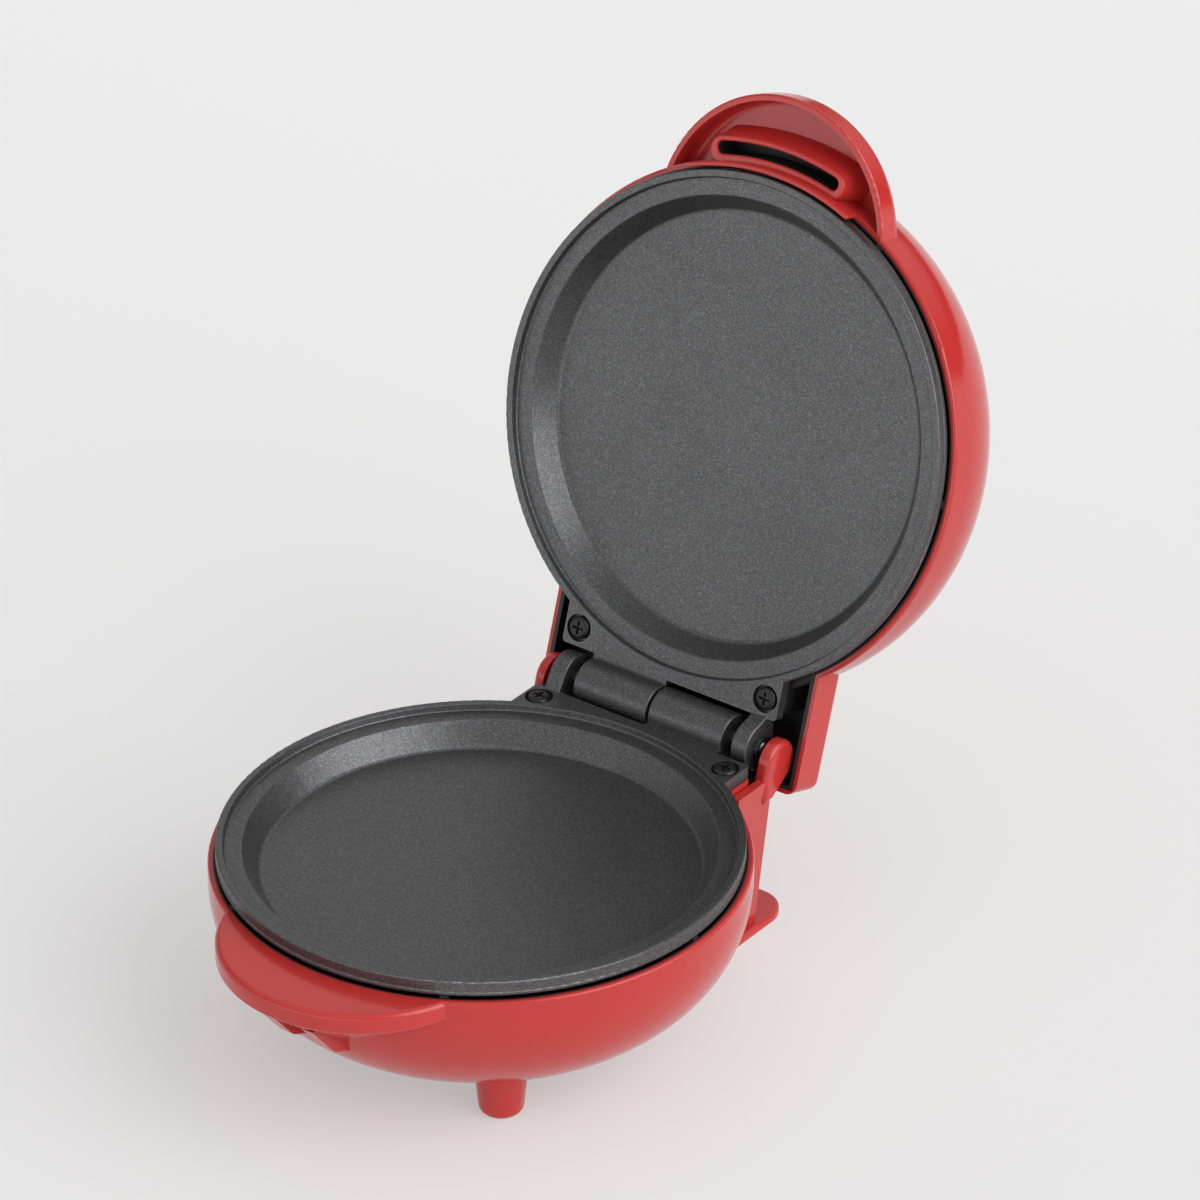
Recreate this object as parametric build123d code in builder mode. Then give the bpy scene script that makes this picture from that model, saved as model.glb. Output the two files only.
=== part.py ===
from build123d import *
from math import asin, atan2, cos, degrees, radians, sin, sqrt
import os

os.makedirs("parts", exist_ok=True)

# Mini waffle maker: two equal round pans, one in the base and one in the lid, hinged at the back.
# The table is z = 0 and the handles point to -Y. Pieces are drawn with the pans' axis as the z axis, and
# saved with the origin on the table under the hinge. Each half is described by its depth, counted from the
# pan's rim face into its shell.

# Stance and lid
land_height = 50.0
plate_gap = 1.6
open_angle = 108.0
hinge_setback = 8.5

# Pan casting, from its rim to its middle
plate_radius = 63.5
land_width = 1.85
step_draft = 0.3
step_width = 4.25
step_depth = 1.8
slope_run = 3.85
pan_depth = 7.9
floor_thickness = 3.0
back_margin = 1.95
band_height = 3.9
flange_width = 3.3
flange_lip = 0.7
bead_depth = 2.8
bead_radius = 0.35
pan_floor_round = 1.2
slope_round = 0.6
step_round = 0.4
land_round = 0.25
land_edge_round = 0.4
band_round = 0.3
back_round = 1.5

# Hinge on the casting
platform_half_width = 32.5
platform_overhang = 1.2
platform_thickness = 3.0
knuckle_radius = 6.0
knuckle_round = 0.4
lug_arm_gap = 0.3
barrel_gap = 0.8
barrel_length = 22.1
lug_gap = 3.0
lug_length = 4.5
pin_radius = 2.0
pin_clearance = 0.05
clip_radius = 2.9
clip_length = 1.4
clip_gap = 0.3

# Front hook on the casting
hook_width = 12.0
hook_thickness = 2.0
hook_depth = 12.0
hook_toe = 1.2
hook_toe_height = 2.0

# Screws
shank_radius = 1.5
shank_clearance = 0.05
head_radius = 2.9
head_height = 2.0
cross_length = 3.4
cross_width = 0.8
cross_depth = 1.1
plate_screw_spacing = 56.8
plate_screw_inset = 3.4
plate_screw_length = 11.0
recess_radius = 3.6
recess_depth = 1.6
small_screw_length = 4.4

# Heater on the casting's back
tube_radius = 3.25
tube_gap = 0.1
ring_margin = 15.25
leg_half_spacing = 8.0
leg_bend = 7.0
leg_margin = 13.5
ridge_width = 1.2
ridge_height = 3.0
ridge_gap = 0.15
seal_length = 2.5
terminal_radius = 1.25
spade_width = 6.3
spade_thickness = 0.8
spade_length = 6.0
terminal_stand = 1.5

# Heat shield
shield_standoff = 7.6
shield_boss_radius = 3.0
shield_screw_margin = 4.75
shield_screw_count = 3
shield_screw_angle = 30.0
shield_margin = 4.0
shield_thickness = 0.6
shield_rim = 2.5
shield_hole_radius = 16.0

# Thermostat
thermostat_radius = 8.0
thermostat_height = 9.0
thermostat_screw_reach = 12.0
thermostat_pad_height = 2.0
thermostat_ear_width = 6.5
thermostat_ear_thickness = 1.2
thermostat_spade_reach = 6.0
thermostat_spade_length = 6.5

# Shells
shell_overhang = 1.9
shell_wall = 2.2
rim_setback = 4.6
rim_round = 0.8
rim_inner_round = 0.5
bowl_clearance = 5.0
base_skirt = 5.1
base_crown_rise = 3.3
lid_skirt = 6.3
lid_crown_rise = 1.1
lid_depth = 44.0
rest_rib_width = 2.0
rest_rib_reach = 3.0
rest_rib_root = 0.4
rest_rib_height = 8.0
rest_rib_count = 4
hook_play = 0.4
ledge_width = 14.0
ledge_thickness = 2.1
pillar_size = 6.8
pillar_height = 17.0
seat_clearance = 0.3

# Base tab and its gussets
tab_inset = 20.9
tab_radius = 35.3
tab_thickness = 4.8
tab_round = 1.5
tab_edge = 0.8
tab_sweep_inset = 14.0
tab_sweep_drop = 10.9
tab_root_inset = 24.2
tab_root_drop = 20.5
tab_sweep_round = 8.0
tab_heel = 7.3
gusset_spacing = 12.4
gusset_width = 3.5
gusset_reach = 8.8
gusset_reach_drop = 4.2
gusset_toe = 0.9
gusset_toe_drop = 13.8
gusset_toe_round = 4.0
gusset_root = 8.4
gusset_root_drop = 17.8

# Front feet
foot_spacing = 58.4
foot_setback = 30.4
foot_top_radius = 6.8
foot_bottom_radius = 5.3
foot_round = 2.0
foot_root = 9.0

# Rear tower
tower_setback = 2.0
tower_length = 14.0
tower_step = 0.3
tower_flare = 0.112
tower_wall = 2.2
deck_drop = 1.6
deck_thickness = 2.0
deck_slot_width = 8.0
deck_slot_length = 3.0
ear_gap = 1.2
ear_thickness = 3.0
ear_radius = 5.8
ear_lean = 1.3
ear_drop = 3.0
ear_front = 5.5
ear_height = 6.5
ear_round = 1.4
window_width = 32.0
window_drop = 5.4
window_height = 16.0
post_radius = 3.5
post_bite = 0.4
post_height = 22.0

# Rear cover
cover_fit = 0.15
cover_thickness = 2.2
foot_plate_thickness = 2.0
foot_plate_width = 65.4
foot_plate_reach = 13.0
foot_plate_corner = 8.0
foot_plate_edge = 0.8
cover_screw_length = 9.0
stop_width = 24.0
stop_height = 3.0
stop_gap = 0.3

# Cord gland
gland_gap = 2.6
gland_bore = 3.5
gland_waist = 5.9
gland_flange = 7.3
gland_outer_length = 2.5
gland_inner_length = 2.4
gland_fit = 0.1

# Terminal block and leads
block_width = 26.0
block_length = 8.0
block_height = 9.0
block_rise = 0.3
block_screw_spacing = 21.0
block_screw_bite = 1.2
block_chamfer = 0.6
lead_rise = 3.8
lead_radius = 1.1
lead_bend = 2.2
sleeve_radius = 1.7
sleeve_length = 6.0

# Lid handle
hood_inset = 15.1
hood_radius = 32.9
hood_depth = 8.4
hood_wall = 1.6
hood_roof = 1.6
hood_round = 3.0
hood_edge = 0.6
slot_setback = 3.15
slot_width = 3.3
slot_half = 17.9
slot_boss_setback = 2.6
slot_boss_width = 6.8
slot_boss_half = 19.6
slot_boss_rise = 1.8
slot_boss_draft = 14.0
slot_boss_round = 0.5
lip_inset = 0.65
lip_thickness = 1.1
lip_half = 23.8
lip_rise = 4.4
lip_round = 0.4

# Hinge shroud on the lid
shroud_gap = 1.4
shroud_wall = 2.1
shroud_reach = 10.7
shroud_depth = 11.4
shroud_round = 3.0
lid_window_width = 36.0
lid_window_depth = 13.0

# Indicator lamp
lamp_setback = 26.0
lens_radius = 3.0
lens_flange = 3.9
lens_flange_thickness = 1.0
lens_seat = 0.2
lens_crown = 0.7
lens_length = 9.0
lens_wall = 0.45
lamp_clearance = 0.05
lamp_length = 14.0
lamp_lead_radius = 0.6
lamp_lead_reach = 1.3

# Places that follow
hinge_y = plate_radius + hinge_setback
hinge_height = land_height + plate_gap / 2
hinge_depth = -plate_gap / 2
lower_place = Pos(0, 0, land_height) * Rot(0, 180, 0)
lid_swing = Pos(0, hinge_y, hinge_height) * Rot(-open_angle, 0, 0) * Pos(0, -hinge_y, -hinge_height)
upper_place = lid_swing * Pos(0, 0, land_height + plate_gap)
saved_place = Pos(0, -hinge_y, 0)

land_inner = plate_radius - land_width
step_outer = land_inner - step_draft
slope_top = step_outer - step_width
pan_floor_radius = slope_top - slope_run
back_radius = pan_floor_radius + back_margin
plate_back = pan_depth + floor_thickness
flange_inner = plate_radius - flange_width
platform_back = plate_radius + platform_overhang
hook_front = flange_inner

ring_radius = pan_floor_radius - ring_margin
leg_end = plate_radius - leg_margin
shield_screw_radius = pan_floor_radius - shield_screw_margin

screw_y = plate_radius - plate_screw_inset
screw_x = plate_screw_spacing / 2
hole_radius = shank_radius + shank_clearance
pin_half_length = barrel_gap / 2 + barrel_length + lug_gap + lug_length + clip_gap + clip_length

tube_depth = plate_back + tube_gap + tube_radius
seal_end = leg_end + seal_length
terminal_end = seal_end + terminal_stand + spade_length
shield_depth = plate_back + shield_standoff
shield_back = shield_depth + shield_thickness
ear_depth = plate_back + thermostat_pad_height + thermostat_ear_thickness
thermostat_back = plate_back + thermostat_height
lead_depth = thermostat_back + thermostat_spade_length / 2

shell_radius = plate_radius + shell_overhang
rim_height = land_height - rim_setback
base_depth = land_height - bowl_clearance
foot_height = bowl_clearance + foot_root
tab_centre = shell_radius - tab_inset
hood_centre = shell_radius - hood_inset
tower_back = hinge_y - tower_setback
tower_front = tower_back - tower_length
deck_top = rim_height - deck_drop
deck_underside = deck_top - deck_thickness
ear_inner = pin_half_length + ear_gap
tower_top_half = ear_inner + ear_thickness - tower_step
shroud_inner = ear_inner + ear_thickness + shroud_gap
shroud_back = hinge_y + shroud_reach
shroud_top = rim_setback + shroud_depth
window_high = rim_height - window_drop
window_low = window_high - window_height
block_low = window_low + block_rise
gland_height = block_low - gland_gap - gland_flange
block_back = tower_back - cover_thickness
block_front = block_back - block_length


# Screw with a domed cross head: the head's seat is z = 0 and the shank points up
def pan_screw(length):
    with BuildPart() as screw:
        with BuildSketch(Plane.XZ):
            with BuildLine():
                FilletPolyline(
                    (0, -head_height),
                    (head_radius, -head_height),
                    (head_radius, 0),
                    (shank_radius, 0),
                    (shank_radius, length),
                    (0, length),
                    radius=[head_height / 2, head_height / 10, 0, shank_radius / 2],
                )
                Line((0, length), (0, -head_height))
            make_face()
        revolve(axis=Axis.Z)
        with BuildSketch(Plane.XY.offset(-head_height)):
            Rectangle(cross_length, cross_width)
            Rectangle(cross_width, cross_length)
        extrude(amount=cross_depth, mode=Mode.SUBTRACT)
    return screw.part


# Group of like pieces, one solid at each place
def group_at(piece, places):
    with BuildPart() as group:
        for place in places:
            add(piece.moved(place))
    return group.part


# A piece in its place in the model
def save(piece, name, place=Pos(0, 0, 0)):
    with BuildPart() as placed:
        add(piece.moved(saved_place * place))
    placed.part.label = name
    export_step(placed.part, f"parts/{name}.step")


# The same piece in the base and in the lid
def save_in_both_halves(piece, name):
    save(piece, f"lower_{name}", lower_place)
    save(piece, f"upper_{name}", upper_place)


# Hinge barrel near the middle, its ends softened
barrel_start = -barrel_gap / 2 - barrel_length
with BuildPart() as barrel:
    with BuildSketch(Plane.YZ.offset(barrel_start)):
        with Locations((hinge_y, hinge_depth)):
            Circle(knuckle_radius)
    extrude(amount=barrel_length)
    fillet(barrel.edges().filter_by(GeomType.CIRCLE), knuckle_round)

# Hinge lug at the side, on an arm that tapers from the platform
with BuildPart() as lug:
    with BuildSketch(Plane.YZ.offset(pin_half_length - clip_length - clip_gap - lug_length)):
        with Locations((hinge_y, hinge_depth)):
            Circle(knuckle_radius)
        with Locations((hinge_y, 0)):
            Rectangle(
                hinge_y - platform_back + lug_arm_gap,
                platform_thickness,
                align=(Align.MAX, Align.MIN),
            )
        make_hull()
    extrude(amount=lug_length)
    fillet(lug.faces().sort_by(Axis.X)[0].edges(), knuckle_round)
    fillet(lug.faces().sort_by(Axis.X)[-1].edges(), knuckle_round)

# Casting: pan, rim, hinge platform with its knuckles, front hook and the back's ridges and bosses
with BuildPart() as plate:
    with BuildSketch(Plane.XZ):
        with BuildLine():
            FilletPolyline(
                (0, pan_depth),
                (pan_floor_radius, pan_depth),
                (slope_top, step_depth),
                (step_outer, step_depth),
                (land_inner, 0),
                (plate_radius, 0),
                (plate_radius, band_height),
                (flange_inner, band_height),
                (flange_inner - flange_lip, band_height + flange_lip),
                (back_radius, plate_back),
                (0, plate_back),
                radius=[
                    pan_floor_round,
                    slope_round,
                    step_round,
                    land_round,
                    land_edge_round,
                    band_round,
                    band_round,
                    0,
                    back_round,
                ],
            )
            Line((0, plate_back), (0, pan_depth))
        make_face()
    revolve(axis=Axis.Z)
    with BuildSketch(Plane.XZ):
        with Locations((plate_radius, bead_depth)):
            Circle(bead_radius)
    revolve(axis=Axis.Z, mode=Mode.SUBTRACT)
    # platform that carries the knuckles and the two screws
    with BuildSketch() as platform:
        with Locations((0, platform_back)):
            Rectangle(
                2 * platform_half_width,
                platform_back - sqrt(plate_radius**2 - platform_half_width**2) + land_width / 2,
                align=(Align.CENTER, Align.MAX),
            )
        fillet(platform.vertices().group_by(Axis.Y)[-1], land_width / 2)
        Circle(plate_radius - land_width / 2, mode=Mode.SUBTRACT)
    extrude(amount=platform_thickness)
    add(barrel.part)
    add(lug.part)
    with BuildSketch(Plane.YZ.offset(barrel_start)):
        with Locations((hinge_y, 0)):
            Rectangle(
                hinge_y - plate_radius + land_width / 4,
                platform_thickness,
                align=(Align.MAX, Align.MIN),
            )
    extrude(amount=barrel_length)
    with BuildSketch(Plane.YZ):
        with Locations((hinge_y, hinge_depth)):
            Circle(pin_radius + pin_clearance)
    extrude(amount=pin_half_length, both=True, mode=Mode.SUBTRACT)
    # screw seats
    with BuildSketch():
        with Locations((-screw_x, screw_y), (screw_x, screw_y)):
            Circle(recess_radius)
    extrude(amount=recess_depth, mode=Mode.SUBTRACT)
    with BuildSketch():
        with Locations((-screw_x, screw_y), (screw_x, screw_y)):
            Circle(hole_radius)
    extrude(amount=platform_thickness, mode=Mode.SUBTRACT)
    # front hook
    with BuildSketch(Plane.YZ):
        with BuildLine():
            Polyline(
                (-hook_front, band_height),
                (hook_thickness - hook_front, band_height),
                (hook_thickness - hook_front, hook_depth),
                (-hook_front - hook_toe, hook_depth),
                (-hook_front - hook_toe, hook_depth - hook_toe_height),
                (-hook_front, hook_depth - hook_toe_height),
                close=True,
            )
        make_face()
    extrude(amount=hook_width / 2, both=True)
    # two ridges that hold the heating tube between them, open where its legs leave
    inner_ridge = ring_radius - tube_radius - ridge_gap
    outer_ridge = ring_radius + tube_radius + ridge_gap
    with BuildSketch(Plane.XY.offset(plate_back)):
        Circle(inner_ridge)
        Circle(inner_ridge - ridge_width, mode=Mode.SUBTRACT)
    extrude(amount=ridge_height)
    with BuildSketch(Plane.XY.offset(plate_back)):
        Circle(outer_ridge + ridge_width)
        Circle(outer_ridge, mode=Mode.SUBTRACT)
        Rectangle(
            2 * (leg_half_spacing + leg_bend + tube_radius),
            outer_ridge + ridge_width,
            align=(Align.CENTER, Align.MIN),
            mode=Mode.SUBTRACT,
        )
    extrude(amount=ridge_height)
    # bosses for the heat shield and pads for the thermostat, each with a blind hole
    with BuildSketch(Plane.XY.offset(plate_back)):
        with PolarLocations(shield_screw_radius, shield_screw_count, start_angle=shield_screw_angle):
            Circle(shield_boss_radius)
    extrude(amount=shield_standoff)
    with BuildSketch(Plane.XY.offset(shield_depth)):
        with PolarLocations(shield_screw_radius, shield_screw_count, start_angle=shield_screw_angle):
            Circle(hole_radius)
    extrude(amount=-shield_standoff, mode=Mode.SUBTRACT)
    with BuildSketch(Plane.XY.offset(plate_back)):
        with GridLocations(2 * thermostat_screw_reach, 0, 2, 1):
            Circle(shield_boss_radius)
    extrude(amount=thermostat_pad_height)
    with BuildSketch(Plane.XY.offset(plate_back + thermostat_pad_height)):
        with GridLocations(2 * thermostat_screw_reach, 0, 2, 1):
            Circle(hole_radius)
    extrude(amount=-thermostat_pad_height - floor_thickness / 2, mode=Mode.SUBTRACT)
save_in_both_halves(plate.part, "plate")

# Two cross-head screws hold each casting's platform down on its pillars
plate_screws = group_at(
    pan_screw(plate_screw_length),
    [Pos(x, screw_y, recess_depth) for x in (-screw_x, screw_x)],
)
save_in_both_halves(plate_screws, "plate_screws")

# Heating element: a sheathed tube bent to nearly a full ring, with two legs to the back
bend_centre_x = leg_half_spacing + leg_bend
bend_centre_y = sqrt((ring_radius + leg_bend) ** 2 - bend_centre_x**2)
bend_turn = degrees(atan2(bend_centre_y, bend_centre_x))
with BuildPart() as heating_element:
    with BuildLine(Plane.XY.offset(tube_depth)) as tube_path:
        leg_in = Line((leg_half_spacing, leg_end), (leg_half_spacing, bend_centre_y))
        bend_in = JernArc(leg_in @ 1, leg_in % 1, leg_bend, bend_turn)
        ring = JernArc(bend_in @ 1, bend_in % 1, ring_radius, -180 - 2 * bend_turn)
        bend_out = JernArc(ring @ 1, ring % 1, leg_bend, bend_turn)
        Line(bend_out @ 1, (-leg_half_spacing, leg_end))
    with BuildSketch(Plane(origin=(leg_half_spacing, leg_end, tube_depth), z_dir=(0, -1, 0))):
        Circle(tube_radius)
    sweep(path=tube_path.line)
save_in_both_halves(heating_element.part, "heating_element")

# Ceramic bead at each end of the tube
with BuildPart() as heater_seals:
    with BuildSketch(Plane.XZ.offset(-leg_end)):
        with Locations((-leg_half_spacing, tube_depth), (leg_half_spacing, tube_depth)):
            Circle(tube_radius)
            Circle(terminal_radius + shank_clearance, mode=Mode.SUBTRACT)
    extrude(amount=-seal_length)
save_in_both_halves(heater_seals.part, "heater_seals")

# Terminal pin with a flat tab on each leg
with BuildPart() as heater_terminals:
    with BuildSketch(Plane.XZ.offset(-leg_end - tube_gap)):
        with Locations((-leg_half_spacing, tube_depth), (leg_half_spacing, tube_depth)):
            Circle(terminal_radius)
    extrude(amount=-seal_length - terminal_stand)
    with BuildSketch(Plane.XZ.offset(-terminal_end)):
        with Locations((-leg_half_spacing, tube_depth), (leg_half_spacing, tube_depth)):
            Rectangle(spade_width, spade_thickness)
    extrude(amount=spade_length)
save_in_both_halves(heater_terminals.part, "heater_terminals")

# Heat shield: a pressed disc with a turned rim, on three bosses
shield_radius = shield_screw_radius + shield_margin
with BuildPart() as heat_shield:
    with BuildSketch(Plane.XY.offset(shield_depth)):
        Circle(shield_radius)
        Circle(shield_hole_radius, mode=Mode.SUBTRACT)
        with PolarLocations(shield_screw_radius, shield_screw_count, start_angle=shield_screw_angle):
            Circle(hole_radius, mode=Mode.SUBTRACT)
    extrude(amount=shield_thickness)
    with BuildSketch(Plane.XY.offset(shield_depth)):
        Circle(shield_radius)
        Circle(shield_radius - shield_thickness, mode=Mode.SUBTRACT)
    extrude(amount=shield_rim)
save_in_both_halves(heat_shield.part, "heat_shield")

# Shield screws into the bosses
shield_screws = group_at(
    pan_screw(small_screw_length),
    [
        Rot(0, 0, shield_screw_angle + number * 360 / shield_screw_count)
        * Pos(shield_screw_radius, 0, shield_back)
        * Rot(180, 0, 0)
        for number in range(shield_screw_count)
    ],
)
save_in_both_halves(shield_screws, "heat_shield_screws")

# Snap-disc thermostat: a round body with two ears and two flat tabs
with BuildPart() as thermostat:
    with BuildSketch(Plane.XY.offset(plate_back)):
        Circle(thermostat_radius)
    extrude(amount=thermostat_height)
    chamfer(thermostat.edges().group_by(Axis.Z)[-1], thermostat_ear_thickness / 2)
    with BuildSketch(Plane.XY.offset(plate_back + thermostat_pad_height)):
        SlotCenterToCenter(2 * thermostat_screw_reach, thermostat_ear_width)
        with GridLocations(2 * thermostat_screw_reach, 0, 2, 1):
            Circle(hole_radius, mode=Mode.SUBTRACT)
    extrude(amount=thermostat_ear_thickness)
    with BuildSketch(Plane.XY.offset(thermostat_back)):
        with GridLocations(2 * thermostat_spade_reach, 0, 2, 1):
            Rectangle(spade_thickness, spade_width)
    extrude(amount=thermostat_spade_length)
save_in_both_halves(thermostat.part, "thermostat")

# Its screws
thermostat_screws = group_at(
    pan_screw(small_screw_length),
    [Pos(x, 0, ear_depth) * Rot(180, 0, 0) for x in (-thermostat_screw_reach, thermostat_screw_reach)],
)
save_in_both_halves(thermostat_screws, "thermostat_screws")


# Half section of a shell's outside: a skirt, a round corner and a shallow crown, with a rounded rim
def dome_shape(depth, skirt, rise):
    bend_depth = rim_setback + skirt
    corner = depth - bend_depth - rise
    bend_radius = shell_radius - corner
    crown = (bend_radius**2 + (corner + rise) ** 2 - corner**2) / (2 * rise)
    return bend_depth, corner, bend_radius, crown


def dome_arcs(depth, skirt, rise, inset):
    bend_depth, corner, bend_radius, crown = dome_shape(depth, skirt, rise)
    meet = degrees(atan2(bend_depth - depth + crown, bend_radius))
    CenterArc((0, depth - crown), crown - inset, 90, meet - 90)
    CenterArc((bend_radius, bend_depth), corner - inset, meet, -meet)
    return bend_depth


def dome_solid(plane, depth, skirt, rise):
    with BuildPart() as dome:
        with BuildSketch(plane):
            with BuildLine():
                bend_depth = dome_arcs(depth, skirt, rise, 0)
                Line((shell_radius, bend_depth), (shell_radius, rim_setback + rim_round))
                CenterArc((shell_radius - rim_round, rim_setback + rim_round), rim_round, 0, -90)
                Polyline((shell_radius - rim_round, rim_setback), (0, rim_setback), (0, depth))
            make_face()
        revolve(axis=Axis.Z)
    return dome.part


# Its inside, one wall in, flared at the rim to round the inner edge
def dome_hollow(plane, depth, skirt, rise):
    inner = shell_radius - shell_wall
    flare = inner + rim_inner_round
    with BuildPart() as hollow:
        with BuildSketch(plane):
            with BuildLine():
                bend_depth = dome_arcs(depth, skirt, rise, shell_wall)
                Line((inner, bend_depth), (inner, rim_setback + rim_inner_round))
                CenterArc((flare, rim_setback + rim_inner_round), rim_inner_round, 180, 90)
                Polyline((flare, rim_setback), (flare, 0), (0, 0), (0, depth - shell_wall))
            make_face()
        revolve(axis=Axis.Z)
    return hollow.part


# Disc with rounded edges about an upright axis, from which a finger tab or a hood is cut
def rounded_disc(centre, radius, low, high, low_round, high_round):
    axis_plane = Plane(origin=(0, -centre, 0), x_dir=(1, 0, 0), z_dir=(0, -1, 0))
    with BuildPart() as disc:
        with BuildSketch(axis_plane):
            with BuildLine():
                FilletPolyline(
                    (0, low),
                    (radius, low),
                    (radius, high),
                    (0, high),
                    radius=[low_round, high_round],
                )
                Line((0, high), (0, low))
            make_face()
        revolve(axis=Axis((0, -centre, 0), (0, 0, 1)))
    return disc.part


# Half width of the rear tower, which narrows downwards from just inside its ears
def tower_half(height):
    return tower_top_half - tower_flare * (rim_height - height)


# Its box, inset on its sides
def tower_section(low, high, inset):
    low_half = tower_half(low) - inset
    high_half = tower_half(high) - inset
    Polygon((-low_half, low), (low_half, low), (high_half, high), (-high_half, high), align=None)


# Ear beside the hinge: a leaning round lobe, rounded outside
with BuildPart() as ear:
    with BuildSketch(Plane.YZ.offset(ear_inner)):
        with Locations((hinge_y + ear_lean, hinge_height - ear_drop)):
            Circle(ear_radius)
        with Locations((tower_back, rim_height)):
            Rectangle(tower_back - hinge_y + ear_front, ear_height, align=(Align.MAX, Align.MAX))
        make_hull()
    extrude(amount=ear_thickness)
    fillet(ear.faces().sort_by(Axis.X)[-1].edges(), ear_round)

# Moulded foot under the bowl
with BuildPart() as front_foot:
    with BuildSketch(Plane.XZ):
        with BuildLine():
            FilletPolyline(
                (0, 0),
                (foot_bottom_radius, 0),
                (foot_top_radius, foot_height),
                (0, foot_height),
                radius=[foot_round, 0],
            )
            Line((0, foot_height), (0, 0))
        make_face()
    revolve(axis=Axis.Z)

# Finger tab: the front of a flat disc, its underside swept down into the bowl
tab_underside = rim_height - tab_thickness
tab_low = tab_underside - tab_root_drop
tab_plane = Plane(origin=(0, -tab_centre, 0), x_dir=(1, 0, 0), z_dir=(0, -1, 0))
with BuildPart() as finger_tab:
    with BuildSketch(tab_plane):
        with BuildLine():
            FilletPolyline(
                (tab_radius - tab_root_inset, tab_low),
                (tab_radius - tab_sweep_inset, tab_underside - tab_sweep_drop),
                (tab_radius, tab_underside),
                (tab_radius, rim_height),
                (0, rim_height),
                radius=[tab_sweep_round, tab_edge, tab_round],
            )
            Polyline((0, rim_height), (0, tab_low), (tab_radius - tab_root_inset, tab_low))
        make_face()
    revolve(axis=Axis((0, -tab_centre, 0), (0, 0, 1)))
    with BuildSketch(Plane.XY.offset(tab_low)):
        Circle(shell_radius - tab_heel)
    extrude(amount=rim_height - tab_low, mode=Mode.SUBTRACT)

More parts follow.
